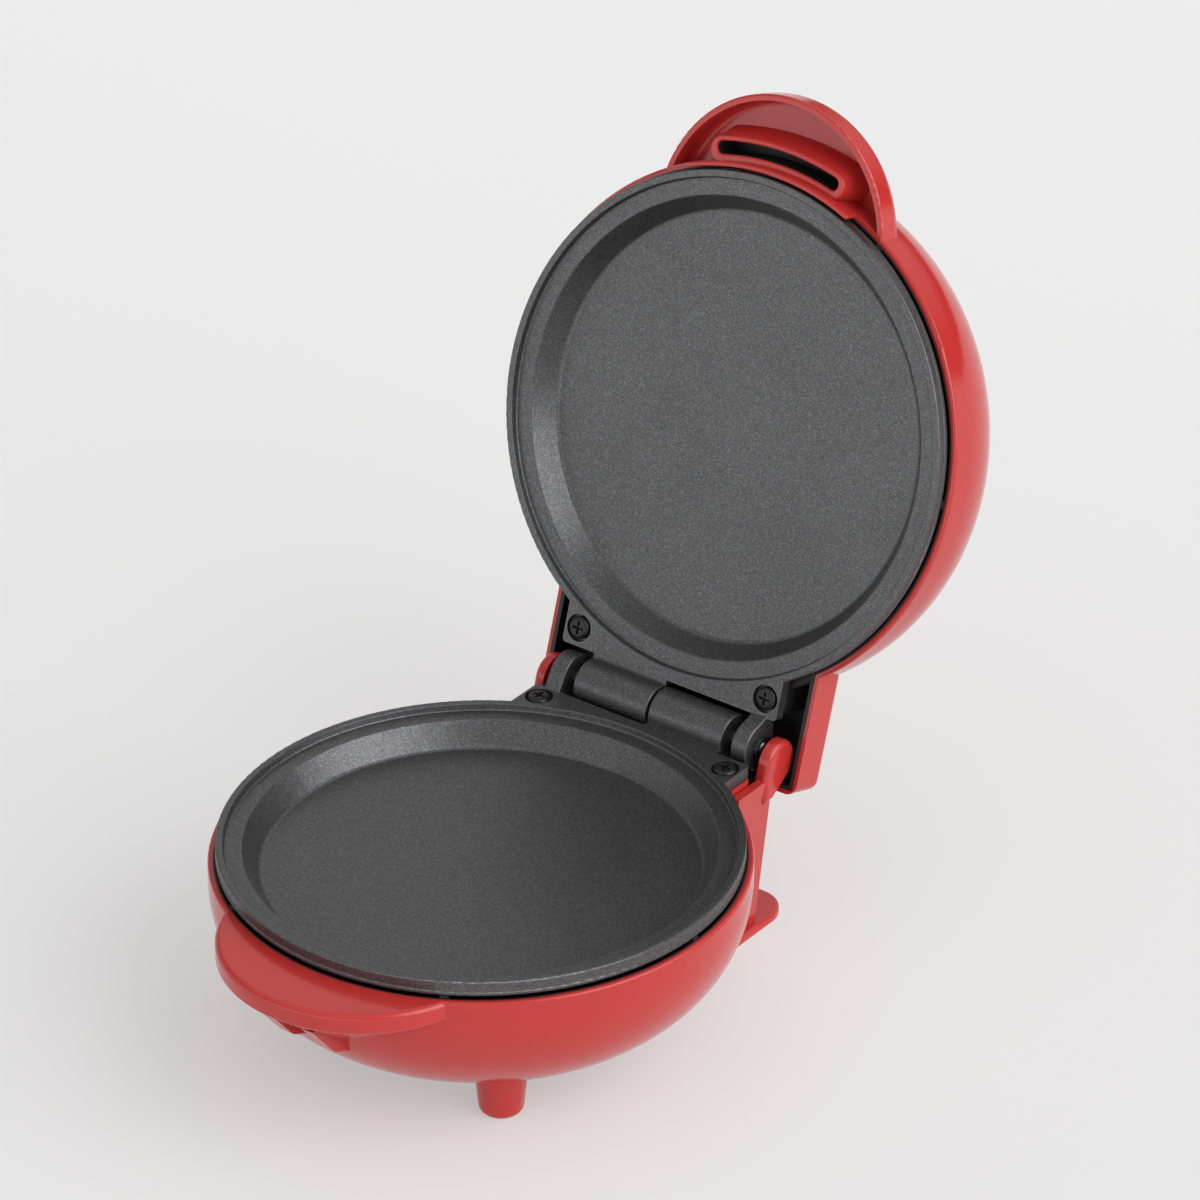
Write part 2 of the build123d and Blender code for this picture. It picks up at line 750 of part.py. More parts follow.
# Base shell: bowl, finger tab, feet and rear tower in one moulding
base_plane = Plane(origin=(0, 0, land_height), x_dir=(1, 0, 0), z_dir=(0, 1, 0))
rear_plane = Plane.XZ.offset(-tower_back)
rib_radius = shell_radius - shell_wall + rest_rib_root - rest_rib_reach / 2
seat_height = land_height - platform_thickness
post_x = tower_half(post_height) - tower_wall - post_radius + post_bite
with BuildPart() as base_shell:
    # tower, hollow and open at its back and its foot, with a deck just under its top
    with BuildSketch(rear_plane):
        tower_section(foot_plate_thickness, rim_height, 0)
    extrude(amount=tower_length)
    with BuildSketch(rear_plane):
        tower_section(0, deck_underside, tower_wall)
    extrude(amount=tower_length - tower_wall, mode=Mode.SUBTRACT)
    with BuildSketch(rear_plane):
        tower_section(deck_top, rim_height + deck_drop, tower_wall)
    extrude(amount=tower_length, mode=Mode.SUBTRACT)
    add(ear.part)
    add(ear.part.mirror(Plane.YZ))
    # bowl, finger tab, gussets and feet
    add(dome_solid(base_plane, base_depth, base_skirt, base_crown_rise))
    add(finger_tab.part)
    for side in (-1, 1):
        with BuildSketch(Plane.YZ.offset(side * gusset_spacing / 2)):
            with BuildLine():
                FilletPolyline(
                    (-shell_radius - gusset_reach, tab_underside - gusset_reach_drop),
                    (-shell_radius - gusset_toe, tab_underside - gusset_toe_drop),
                    (-shell_radius + gusset_root, tab_underside - gusset_root_drop),
                    radius=gusset_toe_round,
                )
                Polyline(
                    (-shell_radius + gusset_root, tab_underside - gusset_root_drop),
                    (-shell_radius + gusset_root, tab_underside - gusset_reach_drop),
                    (-shell_radius - gusset_reach, tab_underside - gusset_reach_drop),
                )
            make_face()
        extrude(amount=gusset_width / 2, both=True)
        add(front_foot.part.moved(Pos(side * foot_spacing / 2, -foot_setback, 0)))
    add(dome_hollow(base_plane, base_depth, base_skirt, base_crown_rise), mode=Mode.SUBTRACT)
    # window from the bowl to the tower, and the deck's slot for the leads to the lid
    with BuildSketch(rear_plane):
        with Locations((0, (window_low + window_high) / 2)):
            Rectangle(window_width, window_high - window_low)
    extrude(amount=tower_length + tower_wall, mode=Mode.SUBTRACT)
    with BuildSketch(Plane.XY.offset(deck_top)):
        with Locations((0, block_back - deck_slot_length)):
            Rectangle(deck_slot_width, deck_slot_length)
    extrude(amount=-deck_thickness, mode=Mode.SUBTRACT)
    # screw pillars under the casting's platform, cut back from the casting's band
    with BuildSketch(Plane.XY.offset(seat_height)):
        with Locations((-screw_x, screw_y), (screw_x, screw_y)):
            Rectangle(pillar_size, pillar_size)
        for side in (-1, 1):
            with Locations((side * (screw_x + pillar_size / 4), screw_y)):
                Rectangle(2 * ear_inner - 2 * screw_x - pillar_size / 2, pillar_size)
    extrude(amount=-pillar_height)
    with BuildSketch(Plane.XY.offset(land_height - band_height)):
        Circle(plate_radius + seat_clearance)
    extrude(amount=band_height, mode=Mode.SUBTRACT)
    with BuildSketch(Plane.XY.offset(seat_height)):
        with Locations((-screw_x, screw_y), (screw_x, screw_y)):
            Circle(hole_radius)
    extrude(amount=-plate_screw_length, mode=Mode.SUBTRACT)
    # ribs under the casting's band, and the ledge that its front hook catches
    with BuildSketch(Plane.XY.offset(land_height - band_height)):
        with PolarLocations(rib_radius, rest_rib_count, start_angle=180, angular_range=180, endpoint=True):
            Rectangle(rest_rib_reach, rest_rib_width)
    extrude(amount=-rest_rib_height)
    with BuildSketch(Plane.XY.offset(land_height - hook_depth + hook_toe_height + hook_play)):
        with Locations((0, -hook_front - hook_play)):
            Rectangle(
                ledge_width,
                shell_radius - shell_wall - hook_front,
                align=(Align.CENTER, Align.MAX),
            )
    extrude(amount=ledge_thickness)
    # posts for the rear cover's screws
    with BuildSketch(Plane.XZ.offset(-block_back)):
        with Locations((-post_x, post_height), (post_x, post_height)):
            Circle(post_radius)
    extrude(amount=tower_length - cover_thickness - tower_wall / 2)
    with BuildSketch(Plane.XZ.offset(-block_back)):
        with Locations((-post_x, post_height), (post_x, post_height)):
            Circle(hole_radius)
    extrude(amount=cover_screw_length, mode=Mode.SUBTRACT)
save(base_shell.part, "base_shell")

# Rear cover: foot plate and back panel in one piece, with the bump that stops the open lid
swing_angle = radians(open_angle)
rim_rise = rim_setback + plate_gap / 2
stop_rim_y = hinge_y + shroud_reach * cos(swing_angle) + rim_rise * sin(swing_angle)
stop_rim_z = hinge_height - shroud_reach * sin(swing_angle) + rim_rise * cos(swing_angle)
with BuildPart() as rear_cover:
    with BuildSketch() as foot_plate:
        with Locations((0, tower_front)):
            Rectangle(
                foot_plate_width,
                tower_length + foot_plate_reach,
                align=(Align.CENTER, Align.MIN),
            )
        fillet(foot_plate.vertices().group_by(Axis.Y)[-1], foot_plate_corner)
        fillet(foot_plate.vertices().group_by(Axis.Y)[0], foot_plate_edge)
    extrude(amount=foot_plate_thickness)
    fillet(rear_cover.edges().group_by(Axis.Z)[-1], foot_plate_edge)
    with BuildSketch(rear_plane):
        tower_section(foot_plate_thickness, deck_underside - cover_fit, tower_wall + cover_fit)
    extrude(amount=cover_thickness)
    with BuildSketch(rear_plane):
        with Locations((0, stop_rim_z + stop_height / 3)):
            Rectangle(stop_width, stop_height)
    extrude(amount=tower_back - stop_rim_y + stop_gap)
    with BuildSketch(rear_plane):
        with Locations((0, gland_height)):
            Circle(gland_waist + gland_fit)
        with Locations((-post_x, post_height), (post_x, post_height)):
            Circle(hole_radius)
    extrude(amount=cover_thickness, mode=Mode.SUBTRACT)
    with BuildSketch(Plane.XZ.offset(-block_back)):
        with Locations((0, block_low + block_height / 2)):
            with GridLocations(block_screw_spacing, 0, 2, 1):
                Circle(hole_radius)
    extrude(amount=-block_screw_bite - cover_fit, mode=Mode.SUBTRACT)
save(rear_cover.part, "rear_cover")

# Its two screws
rear_cover_screws = group_at(
    pan_screw(cover_screw_length),
    [Pos(x, tower_back, post_height) * Rot(90, 0, 0) for x in (-post_x, post_x)],
)
save(rear_cover_screws, "rear_cover_screws")

# Gland that holds the mains lead in the rear cover
gland_steps = (
    (tower_back + gland_outer_length, gland_outer_length, gland_flange),
    (tower_back, cover_thickness, gland_waist),
    (block_back, gland_inner_length, gland_flange),
)
gland_length = gland_outer_length + cover_thickness + gland_inner_length
with BuildPart() as cord_gland:
    for start, length, radius in gland_steps:
        with BuildSketch(Plane.XZ.offset(-start)):
            with Locations((0, gland_height)):
                Circle(radius)
        extrude(amount=length)
    fillet(cord_gland.edges().group_by(Axis.Y)[-1], gland_outer_length / 3)
    with BuildSketch(Plane.XZ.offset(-tower_back - gland_outer_length)):
        with Locations((0, gland_height)):
            Circle(gland_bore)
    extrude(amount=gland_length, mode=Mode.SUBTRACT)
save(cord_gland.part, "cord_gland")

# Terminal block on the inside of the rear cover
with BuildPart() as terminal_block:
    with BuildSketch(Plane.XZ.offset(-block_back)):
        with Locations((0, block_low + block_height / 2)):
            Rectangle(block_width, block_height)
    extrude(amount=block_length)
    chamfer(terminal_block.edges().filter_by(Axis.Y), block_chamfer)
    with BuildSketch(Plane.XZ.offset(-block_back)):
        with Locations((0, block_low + block_height / 2)):
            with GridLocations(block_screw_spacing, 0, 2, 1):
                Circle(hole_radius)
    extrude(amount=block_length, mode=Mode.SUBTRACT)
save(terminal_block.part, "terminal_block")

block_screw_places = [
    Pos(side * block_screw_spacing / 2, block_front, block_low + block_height / 2) * Rot(-90, 0, 0)
    for side in (-1, 1)
]
terminal_block_screws = group_at(pan_screw(block_length + block_screw_bite), block_screw_places)
save(terminal_block_screws, "terminal_block_screws")


# Lead in an upright plane: straight runs joined by bends
def lead_along(plane, points, radius):
    with BuildPart() as lead:
        with BuildLine(plane) as route:
            if len(points) > 2:
                FilletPolyline(*points, radius=lead_bend)
            else:
                Line(*points)
        with BuildSketch(Plane(origin=route.line @ 0, z_dir=route.line % 0)):
            Circle(radius)
        sweep(path=route.line)
    return lead.part


# Crimp sleeve where a lead grips a thermostat's tab
def sleeve_at(x, height):
    with BuildPart() as sleeve:
        with BuildSketch(Plane.XZ.offset(-spade_width / 2)):
            with Locations((x, height)):
                Circle(sleeve_radius)
        extrude(amount=-sleeve_length)
    return sleeve.part


# Base leads: thermostat to terminal block, and heater to terminal block
lead_height = land_height - lead_depth
tube_height = land_height - tube_depth
block_top = block_low + block_height
with BuildPart() as base_leads:
    for side in (-1, 1):
        reach = side * thermostat_spade_reach
        add(sleeve_at(reach, lead_height))
        add(
            lead_along(
                Plane.YZ.offset(reach),
                [(spade_width / 2 + sleeve_length, lead_height), (block_front, lead_height)],
                lead_radius,
            )
        )
        add(
            lead_along(
                Plane.YZ.offset(side * leg_half_spacing),
                [
                    (terminal_end, tube_height),
                    (terminal_end + lead_rise, tube_height),
                    (terminal_end + lead_rise, block_top),
                ],
                lead_radius,
            )
        )
save(base_leads.part, "base_leads")

# Hinge pin through the knuckles of both castings, with a spring clip at each end
with BuildPart() as hinge_pin:
    with BuildSketch(Plane.YZ):
        with Locations((hinge_y, hinge_height)):
            Circle(pin_radius)
    extrude(amount=pin_half_length, both=True)
    chamfer(hinge_pin.edges().filter_by(GeomType.CIRCLE), pin_radius / 5)
save(hinge_pin.part, "hinge_pin")

with BuildPart() as hinge_pin_clips:
    for start in (-pin_half_length + pin_radius / 5, pin_half_length - clip_length):
        with BuildSketch(Plane.YZ.offset(start)):
            with Locations((hinge_y, hinge_height)):
                Circle(clip_radius)
                Circle(pin_radius + pin_clearance, mode=Mode.SUBTRACT)
                Rectangle(clip_radius, clip_radius / 2, align=(Align.MIN, Align.CENTER), mode=Mode.SUBTRACT)
        extrude(amount=clip_length - pin_radius / 5)
save(hinge_pin_clips.part, "hinge_pin_clips")

# Hinge shroud: a box behind the dome that covers the hinge, hollow from below
shroud_outer = shroud_inner + shroud_wall
shroud_front = sqrt((shell_radius - shell_wall) ** 2 - shroud_outer**2) - shroud_wall
with BuildPart() as shroud:
    with BuildSketch(Plane.XY.offset(rim_setback)):
        with Locations((0, shroud_front)):
            Rectangle(2 * shroud_outer, shroud_back - shroud_front, align=(Align.CENTER, Align.MIN))
    extrude(amount=shroud_depth)
    fillet(shroud.edges().filter_by(Axis.Z).group_by(Axis.Y)[-1], shroud_round)
    fillet(shroud.edges().group_by(Axis.Z)[-1].sort_by(Axis.Y)[1:], shroud_round)
    with BuildSketch(Plane.XY.offset(rim_setback)):
        with Locations((0, shroud_front)):
            Rectangle(
                2 * shroud_inner,
                shroud_back - shroud_wall - shroud_front,
                align=(Align.CENTER, Align.MIN),
            )
    extrude(amount=shroud_depth - shroud_wall, mode=Mode.SUBTRACT)

# Hollow under the hood: the dome's wall is kept
hood_floor = rim_setback + hood_depth - hood_roof
with BuildPart() as hood_recess:
    add(rounded_disc(hood_centre, hood_radius - hood_wall, 0, hood_floor, 0, hood_roof))
    with BuildSketch():
        Circle(shell_radius)
    extrude(amount=hood_floor, mode=Mode.SUBTRACT)

# Slot bent round the pans' axis at the front
def arc_slot(radius, half_width, width):
    half_angle = degrees(asin((half_width - width / 2) / radius))
    middle = CenterArc((0, 0), radius, -90 - half_angle, 2 * half_angle, mode=Mode.PRIVATE)
    return SlotArc(middle, width)


# Drafted boss round the curved slot under the hood, and the thin lip between it and the casting
slot_top = rim_setback - slot_boss_rise
lip_top = rim_setback - lip_rise
with BuildPart() as slot_boss:
    with BuildSketch(Plane.XY.offset(slot_top)):
        arc_slot(shell_radius + slot_boss_setback, slot_boss_half, slot_boss_width)
    extrude(amount=hood_floor + hood_roof / 2 - slot_top, taper=-slot_boss_draft)
    with BuildSketch(Plane.XY.offset(slot_top)):
        arc_slot(shell_radius + slot_setback, slot_half, slot_width)
    extrude(amount=hood_floor - slot_top, mode=Mode.SUBTRACT)
    fillet(slot_boss.edges().group_by(Axis.Z)[0], slot_boss_round)
    with BuildSketch(Plane.XY.offset(lip_top)):
        arc_slot(shell_radius - lip_inset, lip_half, lip_thickness)
    extrude(amount=lip_rise + rim_round)
    fillet(slot_boss.edges().group_by(Axis.Z)[0], lip_round)

# Depth of the lid's outside at a distance from its axis, on the shallow crown
crown_radius = dome_shape(lid_depth, lid_skirt, lid_crown_rise)[3]
lens_far_depth = lid_depth - crown_radius + sqrt(crown_radius**2 - (lamp_setback + lens_flange) ** 2)
lens_seat_depth = lens_far_depth - lens_seat

# Lid shell: dome, hood handle and hinge shroud in one moulding
with BuildPart() as lid_shell:
    add(shroud.part)
    add(dome_solid(Plane.XZ, lid_depth, lid_skirt, lid_crown_rise))
    add(
        rounded_disc(
            hood_centre, hood_radius, rim_setback, rim_setback + hood_depth, hood_edge, hood_round
        )
    )
    add(hood_recess.part, mode=Mode.SUBTRACT)
    add(slot_boss.part)
    add(dome_hollow(Plane.XZ, lid_depth, lid_skirt, lid_crown_rise), mode=Mode.SUBTRACT)
    # opening for the leads from the hinge into the dome
    with BuildSketch(Plane.XY.offset(rim_setback)):
        with Locations((0, shell_radius)):
            Rectangle(lid_window_width, 4 * shell_wall)
    extrude(amount=lid_window_depth - rim_setback, mode=Mode.SUBTRACT)
    # screw pillars above the casting's platform, cut back from the casting's band
    with BuildSketch(Plane.XY.offset(platform_thickness)):
        with Locations((-screw_x, screw_y), (screw_x, screw_y)):
            Rectangle(pillar_size, pillar_size)
    extrude(amount=shroud_top - shroud_wall / 2 - platform_thickness)
    with BuildSketch():
        Circle(plate_radius + seat_clearance)
    extrude(amount=band_height, mode=Mode.SUBTRACT)
    with BuildSketch(Plane.XY.offset(platform_thickness)):
        with Locations((-screw_x, screw_y), (screw_x, screw_y)):
            Circle(hole_radius)
    extrude(amount=plate_screw_length, mode=Mode.SUBTRACT)
    # ribs under the casting's band, and the ledge that its front hook catches
    with BuildSketch(Plane.XY.offset(band_height)):
        with PolarLocations(rib_radius, rest_rib_count, start_angle=180, angular_range=180, endpoint=True):
            Rectangle(rest_rib_reach, rest_rib_width)
    extrude(amount=rest_rib_height)
    with BuildSketch(Plane.XY.offset(hook_depth - hook_toe_height - hook_play)):
        with Locations((0, -hook_front - hook_play)):
            Rectangle(
                ledge_width,
                shell_radius - shell_wall - hook_front,
                align=(Align.CENTER, Align.MAX),
            )
    extrude(amount=-ledge_thickness)
    # seat and hole for the indicator lens
    with BuildSketch(Plane.XY.offset(lens_seat_depth)):
        with Locations((0, -lamp_setback)):
            Circle(lens_flange + lamp_clearance)
    extrude(amount=lens_flange_thickness, mode=Mode.SUBTRACT)
    with BuildSketch(Plane.XY.offset(lens_seat_depth)):
        with Locations((0, -lamp_setback)):
            Circle(lens_radius + lamp_clearance)
    extrude(amount=-2 * shell_wall, mode=Mode.SUBTRACT)
save(lid_shell.part, "lid_shell", upper_place)

# Indicator lens: a domed flange on a sleeve that holds the lamp
lamp_radius = lens_radius - lens_wall - lamp_clearance
lamp_top = lens_seat_depth - lamp_clearance
with BuildPart() as indicator_lens:
    with BuildSketch(Plane.XY.offset(lens_seat_depth)):
        with Locations((0, -lamp_setback)):
            Circle(lens_flange)
    extrude(amount=lens_flange_thickness)
    fillet(indicator_lens.edges().group_by(Axis.Z)[-1], lens_crown)
    with BuildSketch(Plane.XY.offset(lens_seat_depth)):
        with Locations((0, -lamp_setback)):
            Circle(lens_radius)
            Circle(lens_radius - lens_wall, mode=Mode.SUBTRACT)
    extrude(amount=-lens_length)
save(indicator_lens.part, "indicator_lens", upper_place)

# Neon lamp in the lens's sleeve
with BuildPart() as indicator_lamp:
    with BuildSketch(Plane.XY.offset(lamp_top)):
        with Locations((0, -lamp_setback)):
            Circle(lamp_radius)
    extrude(amount=-lamp_length)
    fillet(indicator_lamp.edges().group_by(Axis.Z)[-1], lamp_radius / 2)
save(indicator_lamp.part, "indicator_lamp", upper_place)

# Lid leads: thermostat to heater, and lamp to thermostat
tube_top = tube_depth + spade_thickness / 2
lamp_bottom = lamp_top - lamp_length
with BuildPart() as lid_leads:
    for side in (-1, 1):
        reach = side * thermostat_spade_reach
        add(sleeve_at(reach, lead_depth))
        add(
            lead_along(
                Plane.YZ.offset(reach),
                [
                    (spade_width / 2 + sleeve_length, lead_depth),
                    (terminal_end - spade_length / 2, lead_depth),
                    (terminal_end - spade_length / 2, tube_top),
                ],
                lead_radius,
            )
        )
        lamp_end = Vector(side * lamp_lead_reach, -lamp_setback, 0)
        spade_end = Vector(reach, -spade_width / 2 - ridge_gap, 0)
        run = spade_end - lamp_end
        lamp_plane = Plane(origin=lamp_end, x_dir=run, z_dir=run.cross(Vector(0, 0, 1)))
        add(
            lead_along(
                lamp_plane,
                [(0, lamp_bottom), (0, lead_depth), (run.length, lead_depth)],
                lamp_lead_radius,
            )
        )
save(lid_leads.part, "lid_leads", upper_place)
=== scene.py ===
import math

import bpy
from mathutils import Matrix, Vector

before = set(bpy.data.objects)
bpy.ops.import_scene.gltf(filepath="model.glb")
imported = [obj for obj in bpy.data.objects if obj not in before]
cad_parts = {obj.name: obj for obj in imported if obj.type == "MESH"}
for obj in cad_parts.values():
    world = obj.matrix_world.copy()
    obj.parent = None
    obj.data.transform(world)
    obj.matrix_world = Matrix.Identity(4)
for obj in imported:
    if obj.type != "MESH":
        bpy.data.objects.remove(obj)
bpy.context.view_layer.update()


# Shells: the bowl with its finger tab, feet and rear tower, the rear cover, and the lid with its hood handle.
# All are injection moulded and sprayed with glossy red enamel. It has a faint orange-peel ripple, slow waves
# and hair-fine handling marks. Near-black is painted on the inner faces of the shells as painted shade.
RED = (0.52, 0.034, 0.030, 1.0)
DEEP_RED = (0.46, 0.026, 0.024, 1.0)
# painted shade: near-black for the shells' inner faces, so the gaps, slot, tower and shroud read as shadowed
PAINTED_SHADE_BLACK = (0.016, 0.016, 0.017, 1.0)
ENAMEL_RIPPLE = 350.0
ENAMEL_DRIFT = 22.0
ENAMEL_SMOOTH = 0.10
ENAMEL_DULL = 0.15
MARK_SCALE = 1400.0
MARK_WEAR = 0.05
# extra roughness where the painted shade goes
PAINTED_SHADE_DULL = 0.35
PEEL_STRENGTH = 0.35
PEEL_HEIGHT = 0.00004
NOISE_LOW = 0.3
NOISE_HIGH = 0.7

# where the walls of the shells run, in metres of the frame
PAN_AXIS_Y = -0.072
LAND_HEIGHT = 0.050
RIM_HEIGHT = 0.0454
HINGE_HEIGHT = 0.0508
OPEN_ANGLE = math.radians(108.0)
PLATE_GAP = 0.0016
RIM_INNER = 0.0641
RIM_EDGE = 0.0001
WALL_MIDDLE = 0.0309
BEND_RADIUS = 0.0334
BASE_BEND_DEPTH = 0.0097
LID_BEND_DEPTH = 0.0109
TOWER_FRONT = -0.0149
TOWER_BACK = 0.010
TOWER_INSIDE = 0.0339
TOWER_FLARE = 0.112
EAR_INSIDE = 0.0328
EAR_LOW = 0.042
SHROUD_FRONT = 0.040
SHROUD_BACK = 0.0816
SHROUD_ROOF = 0.0149
SHROUD_SIDE = 0.0384
SLOT_INNER = 0.0668
SLOT_OUTER = 0.0703
SLOT_HALF = 0.0180
SLOT_LIP = 0.0036
SLOT_DEPTH = 0.012


def new_group(name, inputs, outputs):
    tree = bpy.data.node_groups.new(name, "ShaderNodeTree")
    for label, kind, value in inputs:
        socket = tree.interface.new_socket(label, in_out="INPUT", socket_type=kind)
        socket.default_value = value
    for label, kind in outputs:
        tree.interface.new_socket(label, in_out="OUTPUT", socket_type=kind)
    return tree, tree.nodes.new("NodeGroupInput"), tree.nodes.new("NodeGroupOutput")


# a value named i0, i1 ... goes to the input of that number, any other to the input of that name
def add_node(tree, kind, settings=None, **values):
    node = tree.nodes.new(kind)
    for name, value in (settings or {}).items():
        setattr(node, name, value)
    for name, value in values.items():
        numbered = name[0] == "i" and name[1:].isdigit()
        socket = node.inputs[int(name[1:]) if numbered else name.replace("_", " ")]
        if isinstance(value, bpy.types.NodeSocket):
            tree.links.new(value, socket)
        else:
            socket.default_value = value
    return node


def math_node(tree, operation, a, b=0.0):
    return add_node(tree, "ShaderNodeMath", {"operation": operation}, i0=a, i1=b).outputs[0]


def times(tree, a, b):
    return math_node(tree, "MULTIPLY", a, b)


def vector_node(tree, operation, a, b=(0.0, 0.0, 0.0), output="Vector"):
    return add_node(tree, "ShaderNodeVectorMath", {"operation": operation}, i0=a, i1=b).outputs[output]


def blend_colours(tree, share, a, b):
    return add_node(tree, "ShaderNodeMix", {"data_type": "RGBA"}, i0=share, i6=a, i7=b).outputs[2]


def spread(tree, value, low, high, to_low, to_high):
    return add_node(tree, "ShaderNodeMapRange", i0=value, i1=low, i2=high, i3=to_low, i4=to_high).outputs[0]


# nearly all of a noise lies between its two limits, which become low and high
def vary(tree, noise, low, high):
    return spread(tree, noise, NOISE_LOW, NOISE_HIGH, low, high)


def between(tree, value, low, high):
    over = math_node(tree, "GREATER_THAN", value, low)
    return times(tree, over, math_node(tree, "LESS_THAN", value, high))


def across(tree, place):
    part = add_node(tree, "ShaderNodeSeparateXYZ", Vector=place)
    flat_place = add_node(tree, "ShaderNodeCombineXYZ", X=part.outputs["X"], Y=part.outputs["Y"], Z=0.0)
    return part, vector_node(tree, "LENGTH", flat_place.outputs["Vector"], output="Value")


def new_finish(name):
    material = bpy.data.materials.new(name)
    material.use_nodes = True
    tree = material.node_tree
    return material, tree, tree.nodes["Principled BSDF"]


def add_bump(tree, shader, height, strength, distance):
    bump = add_node(tree, "ShaderNodeBump", Strength=strength, Distance=distance, Height=height)
    tree.links.new(bump.outputs["Normal"], shader.inputs["Normal"])


def put_on(material, *names):
    for name in names:
        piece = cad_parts[name]
        piece.data.materials.clear()
        piece.data.materials.append(material)


# moulded skin: a fine ripple and a slow drift over the surface, both from 0 to 1, shared by all mouldings
moulded_skin, skin_in, skin_out = new_group(
    "moulded skin",
    [("Ripple Scale", "NodeSocketFloat", 400.0), ("Drift Scale", "NodeSocketFloat", 18.0)],
    [("Ripple", "NodeSocketFloat"), ("Drift", "NodeSocketFloat")],
)
place = add_node(moulded_skin, "ShaderNodeTexCoord").outputs["Object"]
for label, detail in (("Ripple", 2.0), ("Drift", 1.0)):
    scale = skin_in.outputs[label + " Scale"]
    noise = add_node(moulded_skin, "ShaderNodeTexNoise", Vector=place, Scale=scale, Detail=detail)
    moulded_skin.links.new(noise.outputs["Fac"], skin_out.inputs[label])


def add_skin(tree, ripple_scale, drift_scale):
    return add_node(
        tree,
        "ShaderNodeGroup",
        {"node_tree": moulded_skin},
        Ripple_Scale=ripple_scale,
        Drift_Scale=drift_scale,
    )


# dome inside: 1 within a shell's dome and 0 on its outside, from a place counted from the middle of the
# pan's rim face, with z as the depth into the shell; it marks where the near-black painted shade goes
dome_inside, dome_in, dome_out = new_group(
    "dome inside",
    [("Place", "NodeSocketVector", (0.0, 0.0, 0.0)), ("Bend Depth", "NodeSocketFloat", 0.01)],
    [("Inside", "NodeSocketFloat")],
)
part, radius = across(dome_inside, dome_in.outputs["Place"])
beyond = math_node(dome_inside, "SUBTRACT", radius, BEND_RADIUS)
beyond = math_node(dome_inside, "MAXIMUM", beyond, 0.0)
left = math_node(dome_inside, "SUBTRACT", WALL_MIDDLE**2, times(dome_inside, beyond, beyond))
reach = math_node(dome_inside, "SQRT", math_node(dome_inside, "MAXIMUM", left, 0.0))
wall_depth = math_node(dome_inside, "ADD", reach, dome_in.outputs["Bend Depth"])
above = math_node(dome_inside, "LESS_THAN", part.outputs["Z"], wall_depth)
within = spread(dome_inside, radius, RIM_INNER - RIM_EDGE, RIM_INNER + RIM_EDGE, 1.0, 0.0)
dome_inside.links.new(math_node(dome_inside, "MINIMUM", above, within), dome_out.inputs["Inside"])


def dome_mask(tree, half_place, bend_depth):
    group = {"node_tree": dome_inside}
    dome = add_node(tree, "ShaderNodeGroup", group, Place=half_place, Bend_Depth=bend_depth)
    return dome.outputs["Inside"]


# painted shade in the base: 1 on the inner faces of the bowl's dome and of the rear tower, where near-black
# is painted
def painted_shade_in_base(tree, place):
    turned = vector_node(tree, "MULTIPLY", place, (1.0, 1.0, -1.0))
    half_place = vector_node(tree, "ADD", turned, (0.0, -PAN_AXIS_Y, LAND_HEIGHT))
    dome = dome_mask(tree, half_place, BASE_BEND_DEPTH)
    part = add_node(tree, "ShaderNodeSeparateXYZ", Vector=place)
    side = math_node(tree, "ABSOLUTE", part.outputs["X"])
    drop = math_node(tree, "SUBTRACT", RIM_HEIGHT, part.outputs["Z"])
    wall = math_node(tree, "SUBTRACT", TOWER_INSIDE, times(tree, drop, TOWER_FLARE))
    under_ears = math_node(tree, "LESS_THAN", part.outputs["Z"], EAR_LOW)
    wall = math_node(tree, "MINIMUM", wall, math_node(tree, "ADD", under_ears, EAR_INSIDE))
    tower = between(tree, part.outputs["Y"], TOWER_FRONT, TOWER_BACK)
    tower = times(tree, tower, math_node(tree, "LESS_THAN", side, wall))
    return math_node(tree, "MAXIMUM", dome, tower)


# painted shade in the lid: 1 on the inner faces of the dome, the hinge shroud and the hood's slot, where
# near-black is painted
def painted_shade_in_lid(tree, place):
    axis = {"rotation_type": "X_AXIS"}
    hinge = (0.0, 0.0, HINGE_HEIGHT)
    shut = add_node(tree, "ShaderNodeVectorRotate", axis, Vector=place, Center=hinge, Angle=OPEN_ANGLE)
    middle = (0.0, -PAN_AXIS_Y, -HINGE_HEIGHT - PLATE_GAP / 2)
    half_place = vector_node(tree, "ADD", shut.outputs["Vector"], middle)
    dome = dome_mask(tree, half_place, LID_BEND_DEPTH)
    part, radius = across(tree, half_place)
    side = math_node(tree, "ABSOLUTE", part.outputs["X"])
    shroud = between(tree, part.outputs["Y"], SHROUD_FRONT, SHROUD_BACK)
    shroud = times(tree, shroud, math_node(tree, "LESS_THAN", part.outputs["Z"], SHROUD_ROOF))
    shroud = times(tree, shroud, math_node(tree, "LESS_THAN", side, SHROUD_SIDE))
    slot = between(tree, radius, SLOT_INNER, SLOT_OUTER)
    slot = times(tree, slot, math_node(tree, "LESS_THAN", side, SLOT_HALF))
    slot = times(tree, slot, between(tree, part.outputs["Z"], SLOT_LIP, SLOT_DEPTH))
    slot = times(tree, slot, math_node(tree, "LESS_THAN", part.outputs["Y"], 0.0))
    return math_node(tree, "MAXIMUM", dome, math_node(tree, "MAXIMUM", shroud, slot))


